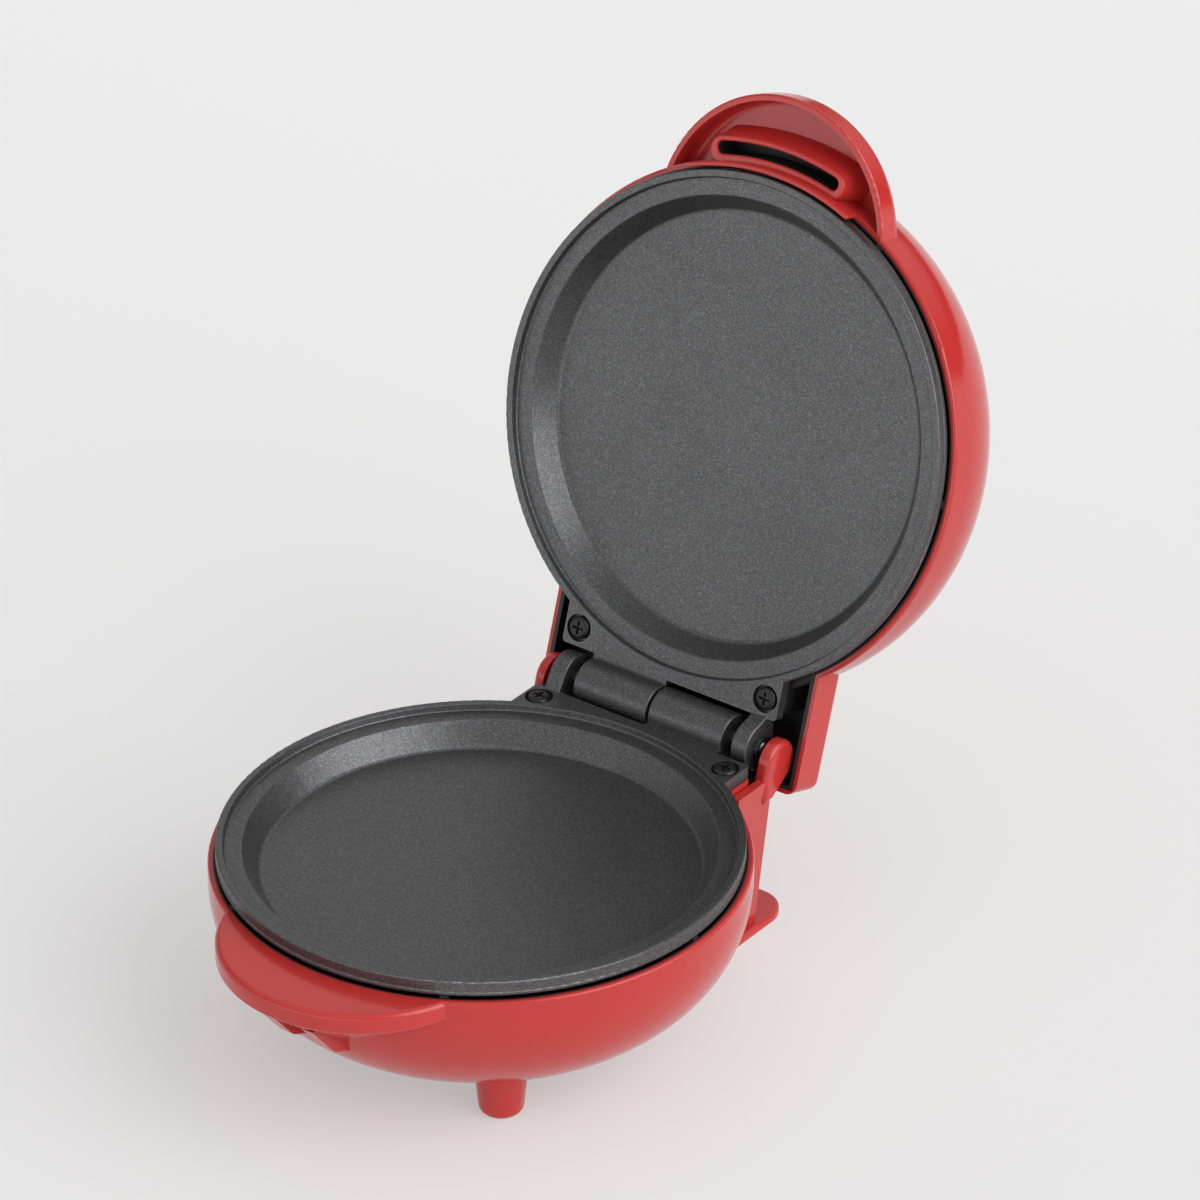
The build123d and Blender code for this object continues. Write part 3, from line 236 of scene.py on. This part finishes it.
def sprayed_red(name, find_painted_shade=None):
    material, tree, shader = new_finish(name)
    skin = add_skin(tree, ENAMEL_RIPPLE, ENAMEL_DRIFT)
    place = add_node(tree, "ShaderNodeTexCoord").outputs["Object"]
    marks = add_node(tree, "ShaderNodeTexNoise", Vector=place, Scale=MARK_SCALE, Detail=3.0, Roughness=0.7)
    colour = blend_colours(tree, skin.outputs["Drift"], DEEP_RED, RED)
    wear = times(tree, marks.outputs["Fac"], MARK_WEAR)
    gloss = vary(tree, skin.outputs["Drift"], ENAMEL_SMOOTH, ENAMEL_DULL)
    rough = math_node(tree, "ADD", wear, gloss)
    # paint near-black shade over the shell's inner faces
    if find_painted_shade:
        painted_shade = find_painted_shade(tree, place)
        colour = blend_colours(tree, painted_shade, colour, PAINTED_SHADE_BLACK)
        rough = math_node(tree, "ADD", rough, times(tree, painted_shade, PAINTED_SHADE_DULL))
    tree.links.new(colour, shader.inputs["Base Color"])
    tree.links.new(rough, shader.inputs["Roughness"])
    add_bump(tree, shader, skin.outputs["Ripple"], PEEL_STRENGTH, PEEL_HEIGHT)
    shader.inputs["IOR"].default_value = 1.5
    return material


put_on(sprayed_red("red enamel"), "rear_cover")
put_on(sprayed_red("red enamel with painted shade inside the base", painted_shade_in_base), "base_shell")
put_on(sprayed_red("red enamel with painted shade inside the lid", painted_shade_in_lid), "lid_shell")


# Castings: two equal aluminium pans with their hinge knuckles, sprayed dark grey with a non-stick coating
# that is full of fine metallic flecks. It is a little worn to a paler grey on the sharp rims, and slightly
# orange-peeled.
COATING = (0.122, 0.122, 0.125, 1.0)
COATING_DARK = (0.080, 0.080, 0.082, 1.0)
FLECK = (0.215, 0.215, 0.22, 1.0)
EDGE_GREY = (0.24, 0.24, 0.245, 1.0)
GRAIN_SCALE = 4200.0
GRAIN_LOW = 0.35
GRAIN_HIGH = 0.65
FLECK_SCALE = 4600.0
FLECK_START = 0.60
FLECK_FULL = 0.98
FLECK_SHARE = 0.8
FLECK_RISE = 0.8
CLOUD_SCALE = 35.0
COATING_SMOOTH = 0.34
COATING_DULL = 0.40
COATING_METAL_LOW = 0.72
COATING_METAL_HIGH = 0.92
GRAIN_HEIGHT = 0.00004

# worn edge: 1 on the sharp outer edges of a piece and 0 on its faces
worn_edge, edge_in, edge_out = new_group(
    "worn edge",
    [("Radius", "NodeSocketFloat", 0.0004), ("Contrast", "NodeSocketFloat", 6.0)],
    [("Mask", "NodeSocketFloat")],
)
rounded = add_node(worn_edge, "ShaderNodeBevel", {"samples": 6}, Radius=edge_in.outputs["Radius"])
flat = add_node(worn_edge, "ShaderNodeNewGeometry")
alike = vector_node(worn_edge, "DOT_PRODUCT", rounded.outputs["Normal"], flat.outputs["Normal"], "Value")
turned = math_node(worn_edge, "SUBTRACT", 1.0, alike)
steep = times(worn_edge, turned, edge_in.outputs["Contrast"])
place = add_node(worn_edge, "ShaderNodeTexCoord").outputs["Object"]
patchy = add_node(worn_edge, "ShaderNodeTexNoise", Vector=place, Scale=300.0, Detail=3.0)
patches = vary(worn_edge, patchy.outputs["Fac"], 0.3, 1.0)
clamped = {"operation": "MULTIPLY", "use_clamp": True}
mask = add_node(worn_edge, "ShaderNodeMath", clamped, i0=steep, i1=patches)
worn_edge.links.new(mask.outputs[0], edge_out.inputs["Mask"])


def edge_mask(tree, radius, contrast):
    edge = add_node(tree, "ShaderNodeGroup", {"node_tree": worn_edge}, Radius=radius, Contrast=contrast)
    return edge.outputs["Mask"]


nonstick, tree, shader = new_finish("speckled non-stick coating")
place = add_node(tree, "ShaderNodeTexCoord").outputs["Object"]
grain = add_node(tree, "ShaderNodeTexNoise", Vector=place, Scale=GRAIN_SCALE, Detail=2.0, Roughness=0.6)
cells = add_node(tree, "ShaderNodeTexVoronoi", {"feature": "F1"}, Vector=place, Scale=FLECK_SCALE)
luck = add_node(tree, "ShaderNodeSeparateColor", Color=cells.outputs["Color"])
flecks = spread(tree, luck.outputs["Red"], FLECK_START, FLECK_FULL, 0.0, FLECK_SHARE)
cloud = add_node(tree, "ShaderNodeTexNoise", Vector=place, Scale=CLOUD_SCALE, Detail=3.0)
shade = spread(tree, grain.outputs["Fac"], GRAIN_LOW, GRAIN_HIGH, 0.0, 1.0)
coat = blend_colours(tree, shade, COATING_DARK, COATING)
coat = blend_colours(tree, flecks, coat, FLECK)
coat = blend_colours(tree, edge_mask(tree, radius=0.0005, contrast=5.0), coat, EDGE_GREY)
tree.links.new(coat, shader.inputs["Base Color"])
rough = vary(tree, cloud.outputs["Fac"], COATING_SMOOTH, COATING_DULL)
tree.links.new(rough, shader.inputs["Roughness"])
metal = spread(tree, luck.outputs["Blue"], 0.0, 1.0, COATING_METAL_LOW, COATING_METAL_HIGH)
tree.links.new(metal, shader.inputs["Metallic"])
height = math_node(tree, "ADD", grain.outputs["Fac"], times(tree, luck.outputs["Green"], FLECK_RISE))
add_bump(tree, shader, height, strength=0.6, distance=GRAIN_HEIGHT)
put_on(nonstick, "lower_plate", "upper_plate")


# Casting screws: cross-head machine screws with a black oxide finish, driven down into their ringed seats.
# The driver has rubbed the edges of their crosses to bare steel.
OXIDE = (0.018, 0.018, 0.019, 1.0)
OXIDE_BLOOM = (0.05, 0.05, 0.05, 1.0)
BARE_STEEL = (0.30, 0.30, 0.31, 1.0)
BLOOM_SCALE = 900.0
RUBBED_SHARE = 0.5
OXIDE_SMOOTH = 0.30
OXIDE_DULL = 0.45

black_oxide, tree, shader = new_finish("black oxide screws")
rubbed = edge_mask(tree, radius=0.0002, contrast=4.0)
place = add_node(tree, "ShaderNodeTexCoord").outputs["Object"]
bloom = add_node(tree, "ShaderNodeTexNoise", Vector=place, Scale=BLOOM_SCALE, Detail=3.0).outputs["Fac"]
oiled = blend_colours(tree, bloom, OXIDE, OXIDE_BLOOM)
worn = blend_colours(tree, times(tree, rubbed, RUBBED_SHARE), oiled, BARE_STEEL)
tree.links.new(worn, shader.inputs["Base Color"])
tree.links.new(vary(tree, bloom, OXIDE_SMOOTH, OXIDE_DULL), shader.inputs["Roughness"])
shader.inputs["Metallic"].default_value = 0.7
add_bump(tree, shader, bloom, strength=0.4, distance=0.00003)
put_on(black_oxide, "lower_plate_screws", "upper_plate_screws")


# Hinge pin and its clips: the pin is turned from steel bar and still shows its lathe lines under the black
# oxide, and the clips are stamped from spring steel and snapped on at its ends.
PIN_STEEL = (0.17, 0.17, 0.175, 1.0)
PIN_DARK = (0.07, 0.07, 0.072, 1.0)
METAL_BRIGHTER = 1.4
METAL_SMOOTHER = 0.06
METAL_DULLER = 0.08

# tool lines: fine lines across one axis of the object, left by a lathe, a die or a rolling mill
tool_lines, lines_in, lines_out = new_group(
    "tool lines",
    [("Stretch", "NodeSocketVector", (1.0, 1.0, 1.0)), ("Scale", "NodeSocketFloat", 1000.0)],
    [("Lines", "NodeSocketFloat")],
)
place = add_node(tool_lines, "ShaderNodeTexCoord").outputs["Object"]
stretched = vector_node(tool_lines, "MULTIPLY", place, lines_in.outputs["Stretch"])
scale = lines_in.outputs["Scale"]
lines = add_node(tool_lines, "ShaderNodeTexNoise", Vector=stretched, Scale=scale, Detail=3.0)
tool_lines.links.new(lines.outputs["Fac"], lines_out.inputs["Lines"])


def metal_finish(name, light, dark, stretch, scale, rough, wear):
    material, tree, shader = new_finish(name)
    group = {"node_tree": tool_lines}
    lines = add_node(tree, "ShaderNodeGroup", group, Stretch=stretch, Scale=scale).outputs["Lines"]
    rubbed = times(tree, edge_mask(tree, radius=0.0003, contrast=4.0), wear)
    bright = tuple(min(1.0, METAL_BRIGHTER * c) for c in light[:3]) + (1.0,)
    colour = blend_colours(tree, rubbed, blend_colours(tree, lines, dark, light), bright)
    tree.links.new(colour, shader.inputs["Base Color"])
    gloss = vary(tree, lines, rough - METAL_SMOOTHER, rough + METAL_DULLER)
    tree.links.new(gloss, shader.inputs["Roughness"])
    shader.inputs["Metallic"].default_value = 1.0
    add_bump(tree, shader, lines, strength=0.3, distance=0.00003)
    return material


pin_steel = metal_finish(
    "blackened pin steel", PIN_STEEL, PIN_DARK, stretch=(6.0, 0.6, 0.6), scale=900.0, rough=0.34, wear=0.5
)
put_on(pin_steel, "hinge_pin", "hinge_pin_clips")


# Heater of each half: a steel-sheathed tube pressed between the casting's ridges, browned by heat, with a
# ceramic bead and a plated tab at each end.
SHEATH = (0.36, 0.33, 0.30, 1.0)
SHEATH_BROWN = (0.16, 0.11, 0.08, 1.0)
CERAMIC = (0.80, 0.77, 0.70, 1.0)
CERAMIC_DUSTY = (0.62, 0.57, 0.48, 1.0)
PLATED = (0.62, 0.62, 0.60, 1.0)
PLATED_DULL = (0.42, 0.42, 0.40, 1.0)

sheath = metal_finish(
    "heat-browned sheath", SHEATH, SHEATH_BROWN, stretch=(1.0, 1.0, 1.0), scale=90.0, rough=0.48, wear=0.3
)
put_on(sheath, "lower_heating_element", "upper_heating_element")
plated = metal_finish(
    "tin-plated tabs", PLATED, PLATED_DULL, stretch=(1.0, 5.0, 1.0), scale=700.0, rough=0.36, wear=0.4
)
put_on(plated, "lower_heater_terminals", "upper_heater_terminals")


def skinned_finish(name, dark, light, ripple, drift, smooth, dull, strength, depth):
    material, tree, shader = new_finish(name)
    skin = add_skin(tree, ripple, drift)
    tree.links.new(blend_colours(tree, skin.outputs["Drift"], dark, light), shader.inputs["Base Color"])
    tree.links.new(vary(tree, skin.outputs["Ripple"], smooth, dull), shader.inputs["Roughness"])
    add_bump(tree, shader, skin.outputs["Ripple"], strength, depth)
    return material, shader


ceramic, shader = skinned_finish(
    "unglazed ceramic",
    CERAMIC,
    CERAMIC_DUSTY,
    ripple=2500.0,
    drift=200.0,
    smooth=0.75,
    dull=0.9,
    strength=0.7,
    depth=0.0001,
)
put_on(ceramic, "lower_heater_seals", "upper_heater_seals")


# Heat shield of each half: a disc of bright rolled aluminium sheet with a turned rim. Zinc-plated screws hold
# it, and screws of the same kind hold the thermostats, the terminal block and the rear cover.
SHEET = (0.70, 0.70, 0.71, 1.0)
SHEET_DULL = (0.55, 0.55, 0.56, 1.0)
ZINC = (0.60, 0.61, 0.60, 1.0)
ZINC_DULL = (0.42, 0.42, 0.38, 1.0)

rolled_sheet = metal_finish(
    "rolled aluminium sheet", SHEET, SHEET_DULL, stretch=(0.3, 5.0, 1.0), scale=500.0, rough=0.38, wear=0.3
)
put_on(rolled_sheet, "lower_heat_shield", "upper_heat_shield")
zinc = metal_finish(
    "zinc-plated screws", ZINC, ZINC_DULL, stretch=(1.0, 1.0, 1.0), scale=600.0, rough=0.34, wear=0.5
)
put_on(
    zinc,
    "lower_heat_shield_screws",
    "upper_heat_shield_screws",
    "lower_thermostat_screws",
    "upper_thermostat_screws",
    "terminal_block_screws",
    "rear_cover_screws",
)


# Thermostats, terminal block and cord gland: plain mouldings. The thermostats are a brown thermoset, the
# block is cream nylon and the gland is black nylon with a matt spark-eroded skin.
THERMOSET = (0.13, 0.075, 0.05, 1.0)
THERMOSET_DARK = (0.08, 0.045, 0.03, 1.0)
CREAM = (0.76, 0.73, 0.62, 1.0)
CREAM_DARK = (0.68, 0.64, 0.52, 1.0)
NYLON_BLACK = (0.030, 0.030, 0.031, 1.0)
NYLON_DEEP = (0.018, 0.018, 0.019, 1.0)
MOULDING_DRIFT = 120.0
MOULDING_SPAN = 0.08
MOULDING_BUMP = 0.6


def moulded_finish(name, light, dark, ripple, rough, depth):
    smooth, dull = rough - MOULDING_SPAN, rough + MOULDING_SPAN
    return skinned_finish(name, dark, light, ripple, MOULDING_DRIFT, smooth, dull, MOULDING_BUMP, depth)[0]


thermoset = moulded_finish(
    "brown thermoset", THERMOSET, THERMOSET_DARK, ripple=1500.0, rough=0.55, depth=0.00005
)
put_on(thermoset, "lower_thermostat", "upper_thermostat")
cream_nylon = moulded_finish("cream nylon", CREAM, CREAM_DARK, ripple=1200.0, rough=0.48, depth=0.00004)
put_on(cream_nylon, "terminal_block")
black_nylon = moulded_finish("black nylon", NYLON_BLACK, NYLON_DEEP, ripple=2200.0, rough=0.55, depth=0.00008)
put_on(black_nylon, "cord_gland")


# Leads: silicone-insulated wire in the bowl and in the lid. Its ends are crimped in sleeves, which are pushed
# on the tabs.
SILICONE = (0.66, 0.64, 0.60, 1.0)
SILICONE_DARK = (0.56, 0.54, 0.49, 1.0)

silicone = moulded_finish(
    "pale silicone insulation", SILICONE, SILICONE_DARK, ripple=1800.0, rough=0.62, depth=0.00005
)
put_on(silicone, "base_leads", "lid_leads")


# Indicator: a clear amber lens in the lid's crown, over a small neon lamp. The lens is moulded with a faintly
# rippled skin, which spreads the lamp's light.
AMBER = (0.90, 0.26, 0.05, 1.0)
AMBER_DEEP = (0.75, 0.16, 0.03, 1.0)
LAMP_WARM = (0.95, 0.80, 0.62, 1.0)
LAMP_PALE = (0.98, 0.92, 0.82, 1.0)

amber, shader = skinned_finish(
    "amber lens",
    AMBER_DEEP,
    AMBER,
    ripple=1500.0,
    drift=250.0,
    smooth=0.08,
    dull=0.16,
    strength=0.5,
    depth=0.00005,
)
shader.inputs["Transmission Weight"].default_value = 0.7
shader.inputs["IOR"].default_value = 1.49
put_on(amber, "indicator_lens")

lamp_glass, shader = skinned_finish(
    "lamp glass",
    LAMP_WARM,
    LAMP_PALE,
    ripple=900.0,
    drift=300.0,
    smooth=0.04,
    dull=0.12,
    strength=0.2,
    depth=0.00004,
)
shader.inputs["Transmission Weight"].default_value = 0.8
put_on(lamp_glass, "indicator_lamp")


# Table: a sheet of matt white paper that the cooker stands on, wide enough to fill every view. Light that
# passes through the tent's wall from outside evens out its shadows.
# painted light and shade: the paper's colour runs from darker at the front to paler at the back, standing in
# for light falling off towards the front
PAPER_PAINTED_SHADE_NEAR = (0.800, 0.800, 0.800, 1.0)
PAPER_PAINTED_LIGHT_FAR = (0.880, 0.880, 0.880, 1.0)
FALLOFF_NEAR_Y = -0.3
FALLOFF_FAR_Y = 0.8
FIBRE_SCALE = 240.0
EVENED_SHARE = 0.5
TABLE_HALF = 9.0

paper, tree, shader = new_finish("white paper")
place = add_node(tree, "ShaderNodeTexCoord").outputs["Object"]
fibre = add_node(tree, "ShaderNodeTexNoise", Vector=place, Scale=FIBRE_SCALE, Detail=4.0)
part = add_node(tree, "ShaderNodeSeparateXYZ", Vector=place)
painted_falloff_share = spread(tree, part.outputs["Y"], FALLOFF_NEAR_Y, FALLOFF_FAR_Y, 0.0, 1.0)
paper_colour_with_painted_falloff = blend_colours(tree, painted_falloff_share, PAPER_PAINTED_SHADE_NEAR, PAPER_PAINTED_LIGHT_FAR)
tree.links.new(paper_colour_with_painted_falloff, shader.inputs["Base Color"])
add_bump(tree, shader, fibre.outputs["Fac"], strength=0.2, distance=0.0001)
shader.inputs["Roughness"].default_value = 0.9
shader.inputs["Specular IOR Level"].default_value = 0.2
even_light = add_node(tree, "ShaderNodeEmission", Color=paper_colour_with_painted_falloff)
ray = add_node(tree, "ShaderNodeLightPath")
seen = math_node(tree, "MAXIMUM", ray.outputs["Is Glossy Ray"], ray.outputs["Is Transmission Ray"])
seen = math_node(tree, "MAXIMUM", ray.outputs["Is Camera Ray"], seen)
evened = add_node(tree, "ShaderNodeMixShader", Fac=times(tree, seen, EVENED_SHARE))
tree.links.new(shader.outputs["BSDF"], evened.inputs[1])
tree.links.new(even_light.outputs["Emission"], evened.inputs[2])
tree.links.new(evened.outputs["Shader"], tree.nodes["Material Output"].inputs["Surface"])
sheet = bpy.data.meshes.new("table")
corners = [(x * TABLE_HALF, y * TABLE_HALF, 0) for x, y in ((-1, -1), (1, -1), (1, 1), (-1, 1))]
sheet.from_pydata(corners, [], [(0, 1, 2, 3)])
table = bpy.data.objects.new("table", sheet)
bpy.context.scene.collection.objects.link(table)
table.data.materials.append(paper)


# Light tent: grey cloth walls and roof. The cloth is brightest low at the front, where the table's light
# falls on it, and behind the cooker, and one large soft lamp shines through it from the right. Past the
# table's edge the camera sees plain pale cloth.
LOW_FRONT = 2.1
LOW_LEFT = 0.59
WALL_FRONT = 0.54
WALL_BACK = 0.97
WALL_LEFT = 0.26
ROOF_LEVEL = 0.67
LOW_FULL = 0.10
LOW_END = 0.40
ROOF_START = 0.55
ROOF_FULL = 0.85
LAMP_DIRECTION = (0.85, 0.10, 0.50)
LAMP_INNER = 10.0
LAMP_OUTER = 40.0
LAMP_LEVEL = 3.5
BACKDROP_LEVEL = 0.84

world = bpy.data.worlds.new("light tent")
bpy.context.scene.world = world
world.use_nodes = True
tree = world.node_tree
look = add_node(tree, "ShaderNodeTexCoord").outputs["Generated"]
height = add_node(tree, "ShaderNodeSeparateXYZ", Vector=look).outputs["Z"]
level_share = math_node(tree, "SUBTRACT", 1.0, times(tree, height, height))
low = spread(tree, height, LOW_FULL, LOW_END, 1.0, 0.0)
roof = spread(tree, height, ROOF_START, ROOF_FULL, 0.0, 1.0)
wall = math_node(tree, "SUBTRACT", math_node(tree, "SUBTRACT", 1.0, low), roof)


def facing(x, y):
    along = math_node(tree, "MAXIMUM", vector_node(tree, "DOT_PRODUCT", look, (x, y, 0.0), "Value"), 0.0)
    return math_node(tree, "DIVIDE", times(tree, along, along), level_share)


def lamp(direction, inner, outer, strength):
    aim = tuple(Vector(direction).normalized())
    return add_node(
        tree,
        "ShaderNodeMapRange",
        {"interpolation_type": "SMOOTHSTEP"},
        i0=vector_node(tree, "DOT_PRODUCT", look, aim, "Value"),
        i1=math.cos(math.radians(outer)),
        i2=math.cos(math.radians(inner)),
        i3=0.0,
        i4=strength,
    ).outputs[0]


front, back, left_side = facing(0.0, -1.0), facing(0.0, 1.0), facing(-1.0, 0.0)
cloths = (
    (low, front, LOW_FRONT),
    (low, left_side, LOW_LEFT),
    (wall, front, WALL_FRONT),
    (wall, back, WALL_BACK),
    (wall, left_side, WALL_LEFT),
)
parts = [times(tree, band, times(tree, side, strength)) for band, side, strength in cloths]
parts.append(times(tree, roof, ROOF_LEVEL))
parts.append(lamp(LAMP_DIRECTION, LAMP_INNER, LAMP_OUTER, LAMP_LEVEL))
level = parts[0]
for part in parts[1:]:
    level = math_node(tree, "ADD", level, part)
ray = add_node(tree, "ShaderNodeLightPath")
seen = math_node(tree, "MAXIMUM", ray.outputs["Is Camera Ray"], ray.outputs["Is Transmission Ray"])
shown = add_node(tree, "ShaderNodeMix", {"data_type": "FLOAT"}, i0=seen, i2=level, i3=BACKDROP_LEVEL)
background = tree.nodes["Background"]
tree.links.new(shown.outputs[0], background.inputs["Strength"])
background.inputs["Color"].default_value = (1.0, 1.0, 1.0, 1.0)


# Camera: on a tripod to the right of the front, about 1.8 metres away, looking down by about 30 degrees
# through a long lens.
CAMERA_PLACE = (0.8813, -1.1968, 0.9472)
CAMERA_TILT = math.radians(59.789)
CAMERA_TURN = math.radians(36.938)
LENS_LENGTH = 211.8
SENSOR_WIDTH = 36.0

camera_data = bpy.data.cameras.new("camera")
camera_data.lens = LENS_LENGTH
camera_data.sensor_width = SENSOR_WIDTH
camera_data.clip_start, camera_data.clip_end = 0.1, 30.0
camera = bpy.data.objects.new("camera", camera_data)
bpy.context.scene.collection.objects.link(camera)
camera.location = CAMERA_PLACE
camera.rotation_euler = (CAMERA_TILT, 0.0, CAMERA_TURN)
bpy.context.scene.camera = camera
bpy.context.scene.view_settings.view_transform = "Standard"
